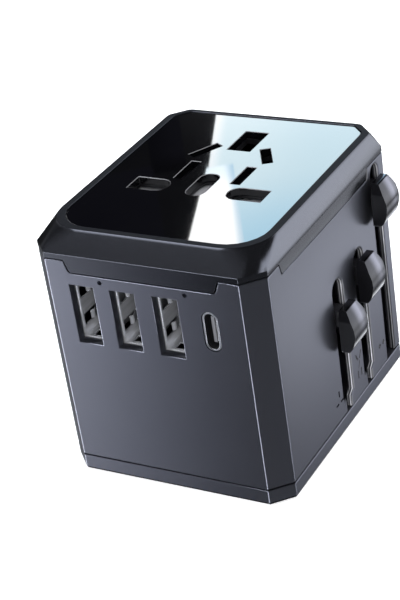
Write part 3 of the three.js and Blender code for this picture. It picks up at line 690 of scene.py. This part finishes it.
# the slanted chamfers of the panel get the lighter grey as a painted highlight
for face in panel.data.polygons:
    if 0.3 < face.normal.z < 0.95:
        face.material_index = 1
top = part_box("socket_panel")[1].z
work = bmesh.new()
work.from_mesh(panel.data)
for vertex in work.verts:
    if abs(vertex.co.z - top) < NEARLY_AT_TOP:
        vertex.co.z = top
bmesh.ops.triangulate(work, faces=[f for f in work.faces if f.normal.z > 0.999 and len(f.verts) > 4])
flat_top = [f for f in work.faces if all(v.co.z == top for v in f.verts)]
inner = [e for e in work.edges if len(e.link_faces) == 2 and all(f in flat_top for f in e.link_faces)]
bmesh.ops.beautify_fill(work, faces=flat_top, edges=inner)
work.to_mesh(panel.data)
work.free()
for piece in (bezel, base, panel):
    print(piece.name, len(piece.data.polygons), "faces")

# %% [markdown]
# ## The three knobs
# Each knob is a glossy cap with a bulging outer face and cut corners. The upper and the lower edge of
# the outer face get the widest rounding, the other edges only a slight one. The face towards the ports
# is dull and nearly black as painted shade, and the slight rounding below it is a light grey painted
# highlight. The attribute "across" runs from 0 on the side towards the ports to 1 on the far side,
# and the finish lays a painted highlight band and painted shade out along it.

# %% Knobs
def on_long_edge(a, b):
    return min(a.x, b.x) > 27 and abs(a.y - b.y) > 4


for name in ("uk_knob", "us_au_knob", "eu_knob"):
    near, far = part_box(name)
    knob = rounded_copy(name, 0.00014, 4, on_long_edge, thin=0.14, extra=("knob_dark", "knob_rim"))
    share = knob.data.attributes.new("across", "FLOAT", "POINT")
    for vertex in knob.data.vertices:
        share.data[vertex.index].value = (vertex.co.y - near.y) / (far.y - near.y)
    # the face towards the ports gets the painted shade, the rounding below it the painted highlight
    for face in knob.data.polygons:
        if face.normal.y < -0.6:
            face.material_index = 1
        if face.center.z < near.z + 0.0003 and face.normal.y < -0.2 and face.normal.z < -0.2:
            face.material_index = 2
    print(name, len(knob.data.polygons), "faces")

# %% [markdown]
# ## USB-A shells
# A USB-A socket is lined with a folded steel shell. Windows are punched through its walls and spring
# fingers reach back into them to grip the plug. The shell is cut from the CAD piece, and the fingers
# are bent strips drawn as an outline and given their width.

# %% USB-A shells with windows and spring fingers
SPRING_LIFTS = (-3.1, 3.1)


def finger_outline(wall_x, inward):
    """A bent strip seen from above: rooted deep in the port, bulging inward near its tip."""
    path = ((0.0, -23.6), (0.12, -24.2), (0.60, -25.6), (0.66, -25.9), (0.50, -26.2), (0.14, -26.5))
    outer = [(wall_x + inward * (u + 0.12), y) for u, y in path]
    inner = [(wall_x + inward * (u - 0.12), y) for u, y in path]
    return outer + inner[::-1]


def usb_a_shell(name):
    low, high = (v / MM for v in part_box(name))
    mid_x, mid_z = (low.x + high.x) / 2, (low.z + high.z) / 2
    holes = bmesh.new()
    for lift in SPRING_LIFTS:
        prism(holes, box_outline(mid_x, mid_z + lift, 9.0, 2.5), "y", -28.9, -23.8)
    prism(holes, box_outline(mid_x, mid_z, 2.4, 15.0), "y", -28.7, -26.6)
    cutter = put_in_scene("window_cutter", mesh_of(holes, "window_cutter"))
    piece = put_in_scene(name + "_folded", welded([name]))
    cut = piece.modifiers.new("windows", "BOOLEAN")
    cut.solver = "EXACT"
    cut.object = cutter
    bake(piece)
    bpy.data.objects.remove(cutter)
    work = bmesh.new()
    work.from_mesh(piece.data)
    for side, wall_x in ((1, low.x + 0.2), (-1, high.x - 0.2)):
        for lift in SPRING_LIFTS:
            prism(work, finger_outline(wall_x, side), "z", mid_z + lift - 0.95, mid_z + lift + 0.95)
    work.to_mesh(piece.data)
    work.free()
    bevel = piece.modifiers.new("edges", "BEVEL")
    bevel.width = 0.00005
    bevel.segments = 1
    bevel.angle_limit = math.radians(40)
    bake(piece)
    piece.data.materials.clear()
    return hand_over(piece, [name])


for i in (1, 2, 3):
    piece = usb_a_shell(f"usb_a_shell_{i}")
    print(piece.name, len(piece.data.polygons), "faces")

# %% [markdown]
# ## Tongues and contact strips
# Each USB tongue carries rows of equal contact strips. Equal things in a row are what Geometry Nodes
# are for: a line of points, one strip on each point, then everything made real as one mesh. The USB-C
# ring is bright at its front; further in it takes a dark steel colour as painted shade.

# %% A row of equal strips as a Geometry Nodes tree
def socket_of(group, name, kind, value):
    made = group.interface.new_socket(name=name, in_out="INPUT", socket_type=kind)
    made.default_value = value
    return made


def row_tree(tree_name, look):
    group = bpy.data.node_groups.new(tree_name, "GeometryNodeTree")
    for name, kind, value in (("Count", "NodeSocketInt", 4), ("Start", "NodeSocketVector", (0, 0, 0)),
                              ("Step", "NodeSocketVector", (0, 0, 0)), ("Size", "NodeSocketVector", (1, 1, 1))):
        socket_of(group, name, kind, value)
    group.interface.new_socket(name="Geometry", in_out="OUTPUT", socket_type="NodeSocketGeometry")
    made = group.nodes.new
    given, result = made("NodeGroupInput"), made("NodeGroupOutput")
    line = made("GeometryNodeMeshLine")
    strip = made("GeometryNodeMeshCube")
    rows = made("GeometryNodeInstanceOnPoints")
    real = made("GeometryNodeRealizeInstances")
    paint = made("GeometryNodeSetMaterial")
    paint.inputs["Material"].default_value = look
    link = group.links.new
    link(given.outputs["Count"], line.inputs["Count"])
    link(given.outputs["Start"], line.inputs["Start Location"])
    link(given.outputs["Step"], line.inputs["Offset"])
    link(given.outputs["Size"], strip.inputs["Size"])
    link(line.outputs["Mesh"], rows.inputs["Points"])
    link(strip.outputs["Mesh"], rows.inputs["Instance"])
    link(rows.outputs["Instances"], real.inputs["Geometry"])
    link(real.outputs["Geometry"], paint.inputs["Geometry"])
    link(paint.outputs["Geometry"], result.inputs["Geometry"])
    return group


def grown(name, group, **values):
    """Runs a Geometry Nodes tree on an empty mesh and returns the plain result."""
    piece = put_in_scene(name, bpy.data.meshes.new(name))
    modifier = piece.modifiers.new("grow", "NODES")
    modifier.node_group = group
    for item in group.interface.items_tree:
        key = item.name.replace(" ", "_").lower()
        if item.item_type == "SOCKET" and item.in_out == "INPUT" and key in values:
            modifier[item.identifier] = values[key]
    return bake(piece)


def joined(piece, others):
    """Adds the meshes of the other objects to the piece, each with its own material."""
    work = bmesh.new()
    work.from_mesh(piece.data)
    for other in others:
        index = len(piece.data.materials)
        piece.data.materials.append(other.data.materials[0])
        first = len(work.faces)
        work.from_mesh(other.data)
        work.faces.ensure_lookup_table()
        for face in work.faces[first:]:
            face.material_index = index
        bpy.data.objects.remove(other)
    work.to_mesh(piece.data)
    work.free()
    return piece


strip_row = row_tree("strip_row", looks["contact_brass"])
print("tree inputs:", [i.name for i in strip_row.interface.items_tree if i.item_type == "SOCKET"])

# %% USB tongues
RING_FRONT_Y = -0.03135
for i in (1, 2, 3):
    name = f"usb_a_tongue_{i}"
    low, high = (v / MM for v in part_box(name))
    mid = (low + high) / 2
    tongue = rounded_copy(name, 0.00008)
    strips = grown(f"strips_{i}", strip_row, count=4, start=(MM * (mid.x + 0.08), -0.0222, MM * (mid.z - 3.6)),
                   step=(0, 0, 0.0024), size=(0.0002, 0.0082, 0.0011))
    joined(tongue, [strips])
    print(tongue.name, len(tongue.data.polygons), "faces")
tongue = rounded_copy("usb_c_tongue", 0.00006)
tongue.data.materials[0] = looks["tongue_grey"]
sides = [grown(f"fine_strips_{k}", strip_row, count=12, start=(MM * (14.4 + 0.36 * k), -0.0284, MM * (39.95 - 2.475)),
               step=(0, 0, 0.00045), size=(0.0001, 0.0032, 0.00025)) for k in (-1, 1)]
joined(tongue, sides)
ring = rounded_copy("usb_c_shell", 0.00009, 2, extra=("dark_steel",))
ring.data.materials[0] = looks["spring_steel"]
# faces further into the opening get the dark steel as painted shade
for face in ring.data.polygons:
    if face.center.y > RING_FRONT_Y:
        face.material_index = 1
print(tongue.name, len(tongue.data.polygons), ring.name, len(ring.data.polygons), "faces")

# %% [markdown]
# ## Pins, carriers and the other inner pieces
# The pins only show when a knob is pushed down. The UK live and neutral pins and both European pins
# have an insulating sleeve over the half next to the body, so that no live metal lies bare while the
# plug is only half way in. The sleeve is a second material above a cut around the pin. Most of the
# other pieces inside only get rounded edges.

# %% Pins with sleeves
def sleeved(name, height):
    piece = rounded_copy(name, 0.0002, 2, extra=("sleeve_black",))
    work = bmesh.new()
    work.from_mesh(piece.data)
    bmesh.ops.bisect_plane(
        work, geom=work.verts[:] + work.edges[:] + work.faces[:], plane_co=(0, 0, height), plane_no=(0, 0, 1))
    for face in work.faces:
        face.material_index = 1 if face.calc_center_median().z > height else 0
    work.to_mesh(piece.data)
    work.free()
    return piece


for name, height in (("uk_live_pin", 0.0092), ("uk_neutral_pin", 0.0092), ("eu_pin_right", 0.0096),
                     ("eu_pin_left", 0.0096)):
    print(sleeved(name, height).name)
for name in ("uk_earth_pin", "us_au_blade_right", "us_au_blade_left"):
    print(rounded_copy(name, 0.00018).name)

# %% Inner pieces with rounded edges
for name, width in (("uk_carrier", 0.0002), ("us_au_carrier", 0.0002), ("eu_carrier", 0.0002),
                    ("chassis", 0.0002), ("socket_block", 0.0001), ("shutter", 0.00015),
                    ("live_contact", 0.00006), ("neutral_contact", 0.00006), ("earth_contact", 0.00006),
                    ("transformer_core", 0.0002), ("rectifier", 0.00025), ("controller_chip", 0.0001),
                    ("fuse_clip_front", 0.0001), ("fuse_clip_back", 0.0001)):
    rounded_copy(name, width)
print("inner pieces rounded")

# %% [markdown]
# ## Screws
# Four equal screws hold the base cover. One screw is turned as on a lathe: an outline is swept round
# the axis, and a little wave on the rings of the socket makes its six lobes. The ridges on the shank
# are plain rings, not a true thread. A Geometry Nodes tree then sets that screw on four points, so
# changing the one changes them all.

# %% A lathe for turned parts
def lathe(work, profile, steps=30, lobes=0):
    """Adds a closed turned shape round Z. Each profile row is radius, height and wave, in millimetres."""
    rings = []
    for radius, height, wave in profile:
        if radius == 0:
            rings.append([work.verts.new((0, 0, MM * height))])
            continue
        ring = []
        for i in range(steps):
            a = 2 * math.pi * i / steps
            r = MM * radius * (1 + wave * math.cos(lobes * a))
            ring.append(work.verts.new((r * math.cos(a), r * math.sin(a), MM * height)))
        rings.append(ring)
    faces = []
    for near, far in zip(rings, rings[1:]):
        for i in range(steps):
            j = (i + 1) % steps
            if len(near) == 1:
                faces.append(work.faces.new((near[0], far[i], far[j])))
            elif len(far) == 1:
                faces.append(work.faces.new((near[j], near[i], far[0])))
            else:
                faces.append(work.faces.new((near[j], near[i], far[i], far[j])))
    bmesh.ops.recalc_face_normals(work, faces=faces)


work = bmesh.new()
profile = [(0, 1.15, 0), (0.75, 1.10, 0.12), (0.80, 0.60, 0.12), (0.92, 0.50, 0.10), (1.75, 0.52, 0),
           (2.0, 0.62, 0), (2.08, 0.85, 0), (2.08, 1.5, 0), (1.95, 1.6, 0), (1.2, 1.62, 0), (1.0, 1.9, 0)]
RIDGES, PITCH = 14, 0.75
for k in range(RIDGES):
    profile += [(1.0, 2.3 + PITCH * k, 0), (1.28, 2.62 + PITCH * k, 0)]
profile += [(1.0, 13.0, 0), (0.5, 13.9, 0), (0, 14.0, 0)]
lathe(work, profile, lobes=6)
one_screw = put_in_scene("one_screw", mesh_of(work, "one_screw"))
print("screw faces:", len(one_screw.data.polygons))

# %% A tree that sets one shape on given points
group = bpy.data.node_groups.new("set_on_points", "GeometryNodeTree")
group.interface.new_socket(name="Points", in_out="INPUT", socket_type="NodeSocketGeometry")
shape_socket = group.interface.new_socket(name="Shape", in_out="INPUT", socket_type="NodeSocketObject")
scale_socket = socket_of(group, "Scale", "NodeSocketFloat", 1.0)
group.interface.new_socket(name="Geometry", in_out="OUTPUT", socket_type="NodeSocketGeometry")
made, link = group.nodes.new, group.links.new
given, result = made("NodeGroupInput"), made("NodeGroupOutput")
shape, rows = made("GeometryNodeObjectInfo"), made("GeometryNodeInstanceOnPoints")
real, paint = made("GeometryNodeRealizeInstances"), made("GeometryNodeSetMaterial")
paint.inputs["Material"].default_value = looks["screw_steel"]
link(given.outputs["Points"], rows.inputs["Points"])
link(given.outputs["Shape"], shape.inputs["Object"])
link(shape.outputs["Geometry"], rows.inputs["Instance"])
link(given.outputs["Scale"], rows.inputs["Scale"])
link(rows.outputs["Instances"], real.inputs["Geometry"])
link(real.outputs["Geometry"], paint.inputs["Geometry"])
link(paint.outputs["Geometry"], result.inputs["Geometry"])

names = [f"housing_screw_{i}" for i in (1, 2, 3, 4)]
places = bpy.data.meshes.new("screw_points")
middles = [sum(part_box(n), Vector()) / 2 for n in names]
places.from_pydata([(m.x, m.y, 0) for m in middles], [], [])
screws = put_in_scene("housing_screws", places)
modifier = screws.modifiers.new("set", "NODES")
modifier.node_group = group
modifier[shape_socket.identifier] = one_screw
modifier[scale_socket.identifier] = 1.0
bake(screws)
bpy.data.objects.remove(one_screw)
hand_over(screws, names)
print("screws:", len(screws.data.polygons), "faces")

# %% [markdown]
# ## The transformer winding
# Varnished wire is wound round the middle leg of the core in many equal turns. One rounded rectangle
# of wire is repeated upwards by Geometry Nodes, and the taped inside of the winding is the CAD shape.

# %% Wire turns
group = bpy.data.node_groups.new("wire_turns", "GeometryNodeTree")
for name, kind, value in (("Turns", "NodeSocketInt", 20), ("Wide", "NodeSocketFloat", 0.009),
                          ("Deep", "NodeSocketFloat", 0.013), ("Corner", "NodeSocketFloat", 0.0008),
                          ("Wire", "NodeSocketFloat", 0.0002), ("Start", "NodeSocketVector", (0, 0, 0)),
                          ("Step", "NodeSocketVector", (0, 0, 0.00045))):
    socket_of(group, name, kind, value)
group.interface.new_socket(name="Geometry", in_out="OUTPUT", socket_type="NodeSocketGeometry")
made, link = group.nodes.new, group.links.new
given, result = made("NodeGroupInput"), made("NodeGroupOutput")
loop, corner = made("GeometryNodeCurvePrimitiveQuadrilateral"), made("GeometryNodeFilletCurve")
corner.mode = "POLY"
corner.inputs["Count"].default_value = 4
wire, tube = made("GeometryNodeCurvePrimitiveCircle"), made("GeometryNodeCurveToMesh")
wire.inputs["Resolution"].default_value = 8
line, stack = made("GeometryNodeMeshLine"), made("GeometryNodeInstanceOnPoints")
real, paint = made("GeometryNodeRealizeInstances"), made("GeometryNodeSetMaterial")
paint.inputs["Material"].default_value = looks["winding"]
link(given.outputs["Wide"], loop.inputs["Width"])
link(given.outputs["Deep"], loop.inputs["Height"])
link(loop.outputs["Curve"], corner.inputs["Curve"])
link(given.outputs["Corner"], corner.inputs["Radius"])
link(given.outputs["Wire"], wire.inputs["Radius"])
link(corner.outputs["Curve"], tube.inputs["Curve"])
link(wire.outputs["Curve"], tube.inputs["Profile Curve"])
link(given.outputs["Turns"], line.inputs["Count"])
link(given.outputs["Start"], line.inputs["Start Location"])
link(given.outputs["Step"], line.inputs["Offset"])
link(line.outputs["Mesh"], stack.inputs["Points"])
link(tube.outputs["Mesh"], stack.inputs["Instance"])
link(stack.outputs["Instances"], real.inputs["Geometry"])
link(real.outputs["Geometry"], paint.inputs["Geometry"])
link(paint.outputs["Geometry"], result.inputs["Geometry"])
turns = grown("wire_turns", group, turns=20, wide=0.0092, deep=0.013, corner=0.0007, wire=0.0002,
              start=(-0.0135, -0.0185, 0.00935), step=(0, 0, 0.00047))
winding = rounded_copy("transformer_coil", 0.0003)
joined(winding, [turns])
print("winding:", len(winding.data.polygons), "faces")

# %% [markdown]
# ## Capacitors and fuse
# Electrolytic capacitors are aluminium cans in a shrunk sleeve: a groove is rolled in near the foot
# and the sleeve folds over the rim of the top. The fuse is a tube with a metal cap on each end.

# %% Capacitors
def capacitor(name):
    low, high = (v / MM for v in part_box(name))
    r, z0, z1 = (high.x - low.x) / 2, low.z, high.z
    work = bmesh.new()
    lathe(work, [(0, z0, 0), (r - 0.5, z0, 0), (r - 0.05, z0 + 0.3, 0), (r, z0 + 0.7, 0), (r, z0 + 1.3, 0),
                 (r - 0.35, z0 + 1.7, 0), (r, z0 + 2.1, 0), (r, z1 - 0.5, 0), (r - 0.2, z1 - 0.1, 0),
                 (r - 0.6, z1, 0), (r - 0.7, z1 - 0.15, 0), (r * 0.35, z1 - 0.15, 0), (r * 0.3, z1 - 0.25, 0),
                 (0, z1 - 0.25, 0)], 32)
    for face in work.faces:
        middle = face.calc_center_median() / MM
        face.smooth = True
        face.material_index = 1 if middle.z > z1 - 0.3 and middle.xy.length < r - 0.62 else 0
    middle = (low + high) / 2
    bmesh.ops.translate(work, verts=work.verts, vec=(MM * middle.x, MM * middle.y, 0))
    piece = put_in_scene(name + "_turned", mesh_of(work, name + "_turned"))
    return hand_over(piece, [name], extra=("spring_steel",))


for name in ("capacitor_large", "capacitor_small"):
    print(capacitor(name).name)

# %% Fuse
low, high = (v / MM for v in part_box("fuse"))
half, r = (high.y - low.y) / 2, (high.z - low.z) / 2
work = bmesh.new()
lathe(work, [(0, -half, 0), (r - 0.3, -half, 0), (r, -half + 0.3, 0), (r, -half + 4.6, 0),
             (r - 0.22, -half + 4.75, 0), (r - 0.22, half - 4.75, 0), (r, half - 4.6, 0), (r, half - 0.3, 0),
             (r - 0.3, half, 0), (0, half, 0)], 32)
for face in work.faces:
    face.smooth = True
    face.material_index = 1 if abs(face.calc_center_median().z / MM) > half - 4.7 else 0
middle = MM * (low + high) / 2
lying = Matrix.Translation(middle) @ Matrix.Rotation(math.pi / 2, 4, "X")
bmesh.ops.transform(work, verts=work.verts, matrix=lying)
fuse = hand_over(put_in_scene("fuse_turned", mesh_of(work, "fuse_turned")), ["fuse"], extra=("pin_nickel",))
print(fuse.name, len(fuse.data.polygons), "faces")

# %% [markdown]
# ## Boards, springs and light pipes
# The circuit boards carry rows of tiny parts, made with the same row tree as the contact strips. The
# leaf springs are bent strips. The light pipes only get rounded edges. The coil behind the shutter is
# the CAD shape.

# %% Circuit boards
chip_row = row_tree("chip_row", looks["chip_black"])
power = rounded_copy("power_board", 0.00008)
rows = [grown(f"power_row_{k}", chip_row, count=6, start=(0.0072, y, 0.0065), step=(0.0016, 0, 0),
              size=(0.0009, 0.0014, 0.0006)) for k, y in enumerate((-0.0068, -0.0285))]
joined(power, rows)
usb_board = rounded_copy("usb_board", 0.00008)
rows = [grown(f"usb_row_{k}", chip_row, count=7, start=(x, -0.0122, 0.0330), step=(0, 0, 0.0015),
              size=(0.0014, 0.0005, 0.0008)) for k, x in enumerate((-0.0096, 0.0002, 0.0096))]
joined(usb_board, rows)
print(len(power.data.polygons), len(usb_board.data.polygons), "board faces")

# %% Leaf springs and light pipes
STEPS = 8
for which in ("uk", "us_au", "eu"):
    name = f"detent_spring_{which}"
    low, high = (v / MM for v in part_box(name))
    span = high.z - low.z
    path = [(low.x + 0.12 + 0.16 * math.sin(math.pi * t / STEPS) ** 2, low.z + span * t / STEPS)
            for t in range(STEPS + 1)]
    outline = [(x - 0.1, z) for x, z in path] + [(x + 0.1, z) for x, z in reversed(path)]
    work = bmesh.new()
    prism(work, outline, "y", low.y, high.y)
    hand_over(put_in_scene(name + "_bent", mesh_of(work, name + "_bent")), [name])
for name in ("light_pipe_left", "light_pipe_right"):
    rounded_copy(name, 0.00008)
coil = hand_over(put_in_scene("shutter_coil", welded(["shutter_spring"])), ["shutter_spring"])
near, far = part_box("shutter_spring")
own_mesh(coil)
print("springs and light pipes ready")

# %% [markdown]
# ## Sizes
# The size of the visual model is printed in millimetres.

# %% Print the size of the visual model
low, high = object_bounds()
print("visual box in mm:", [round(1000 * v, 1) for v in high - low])
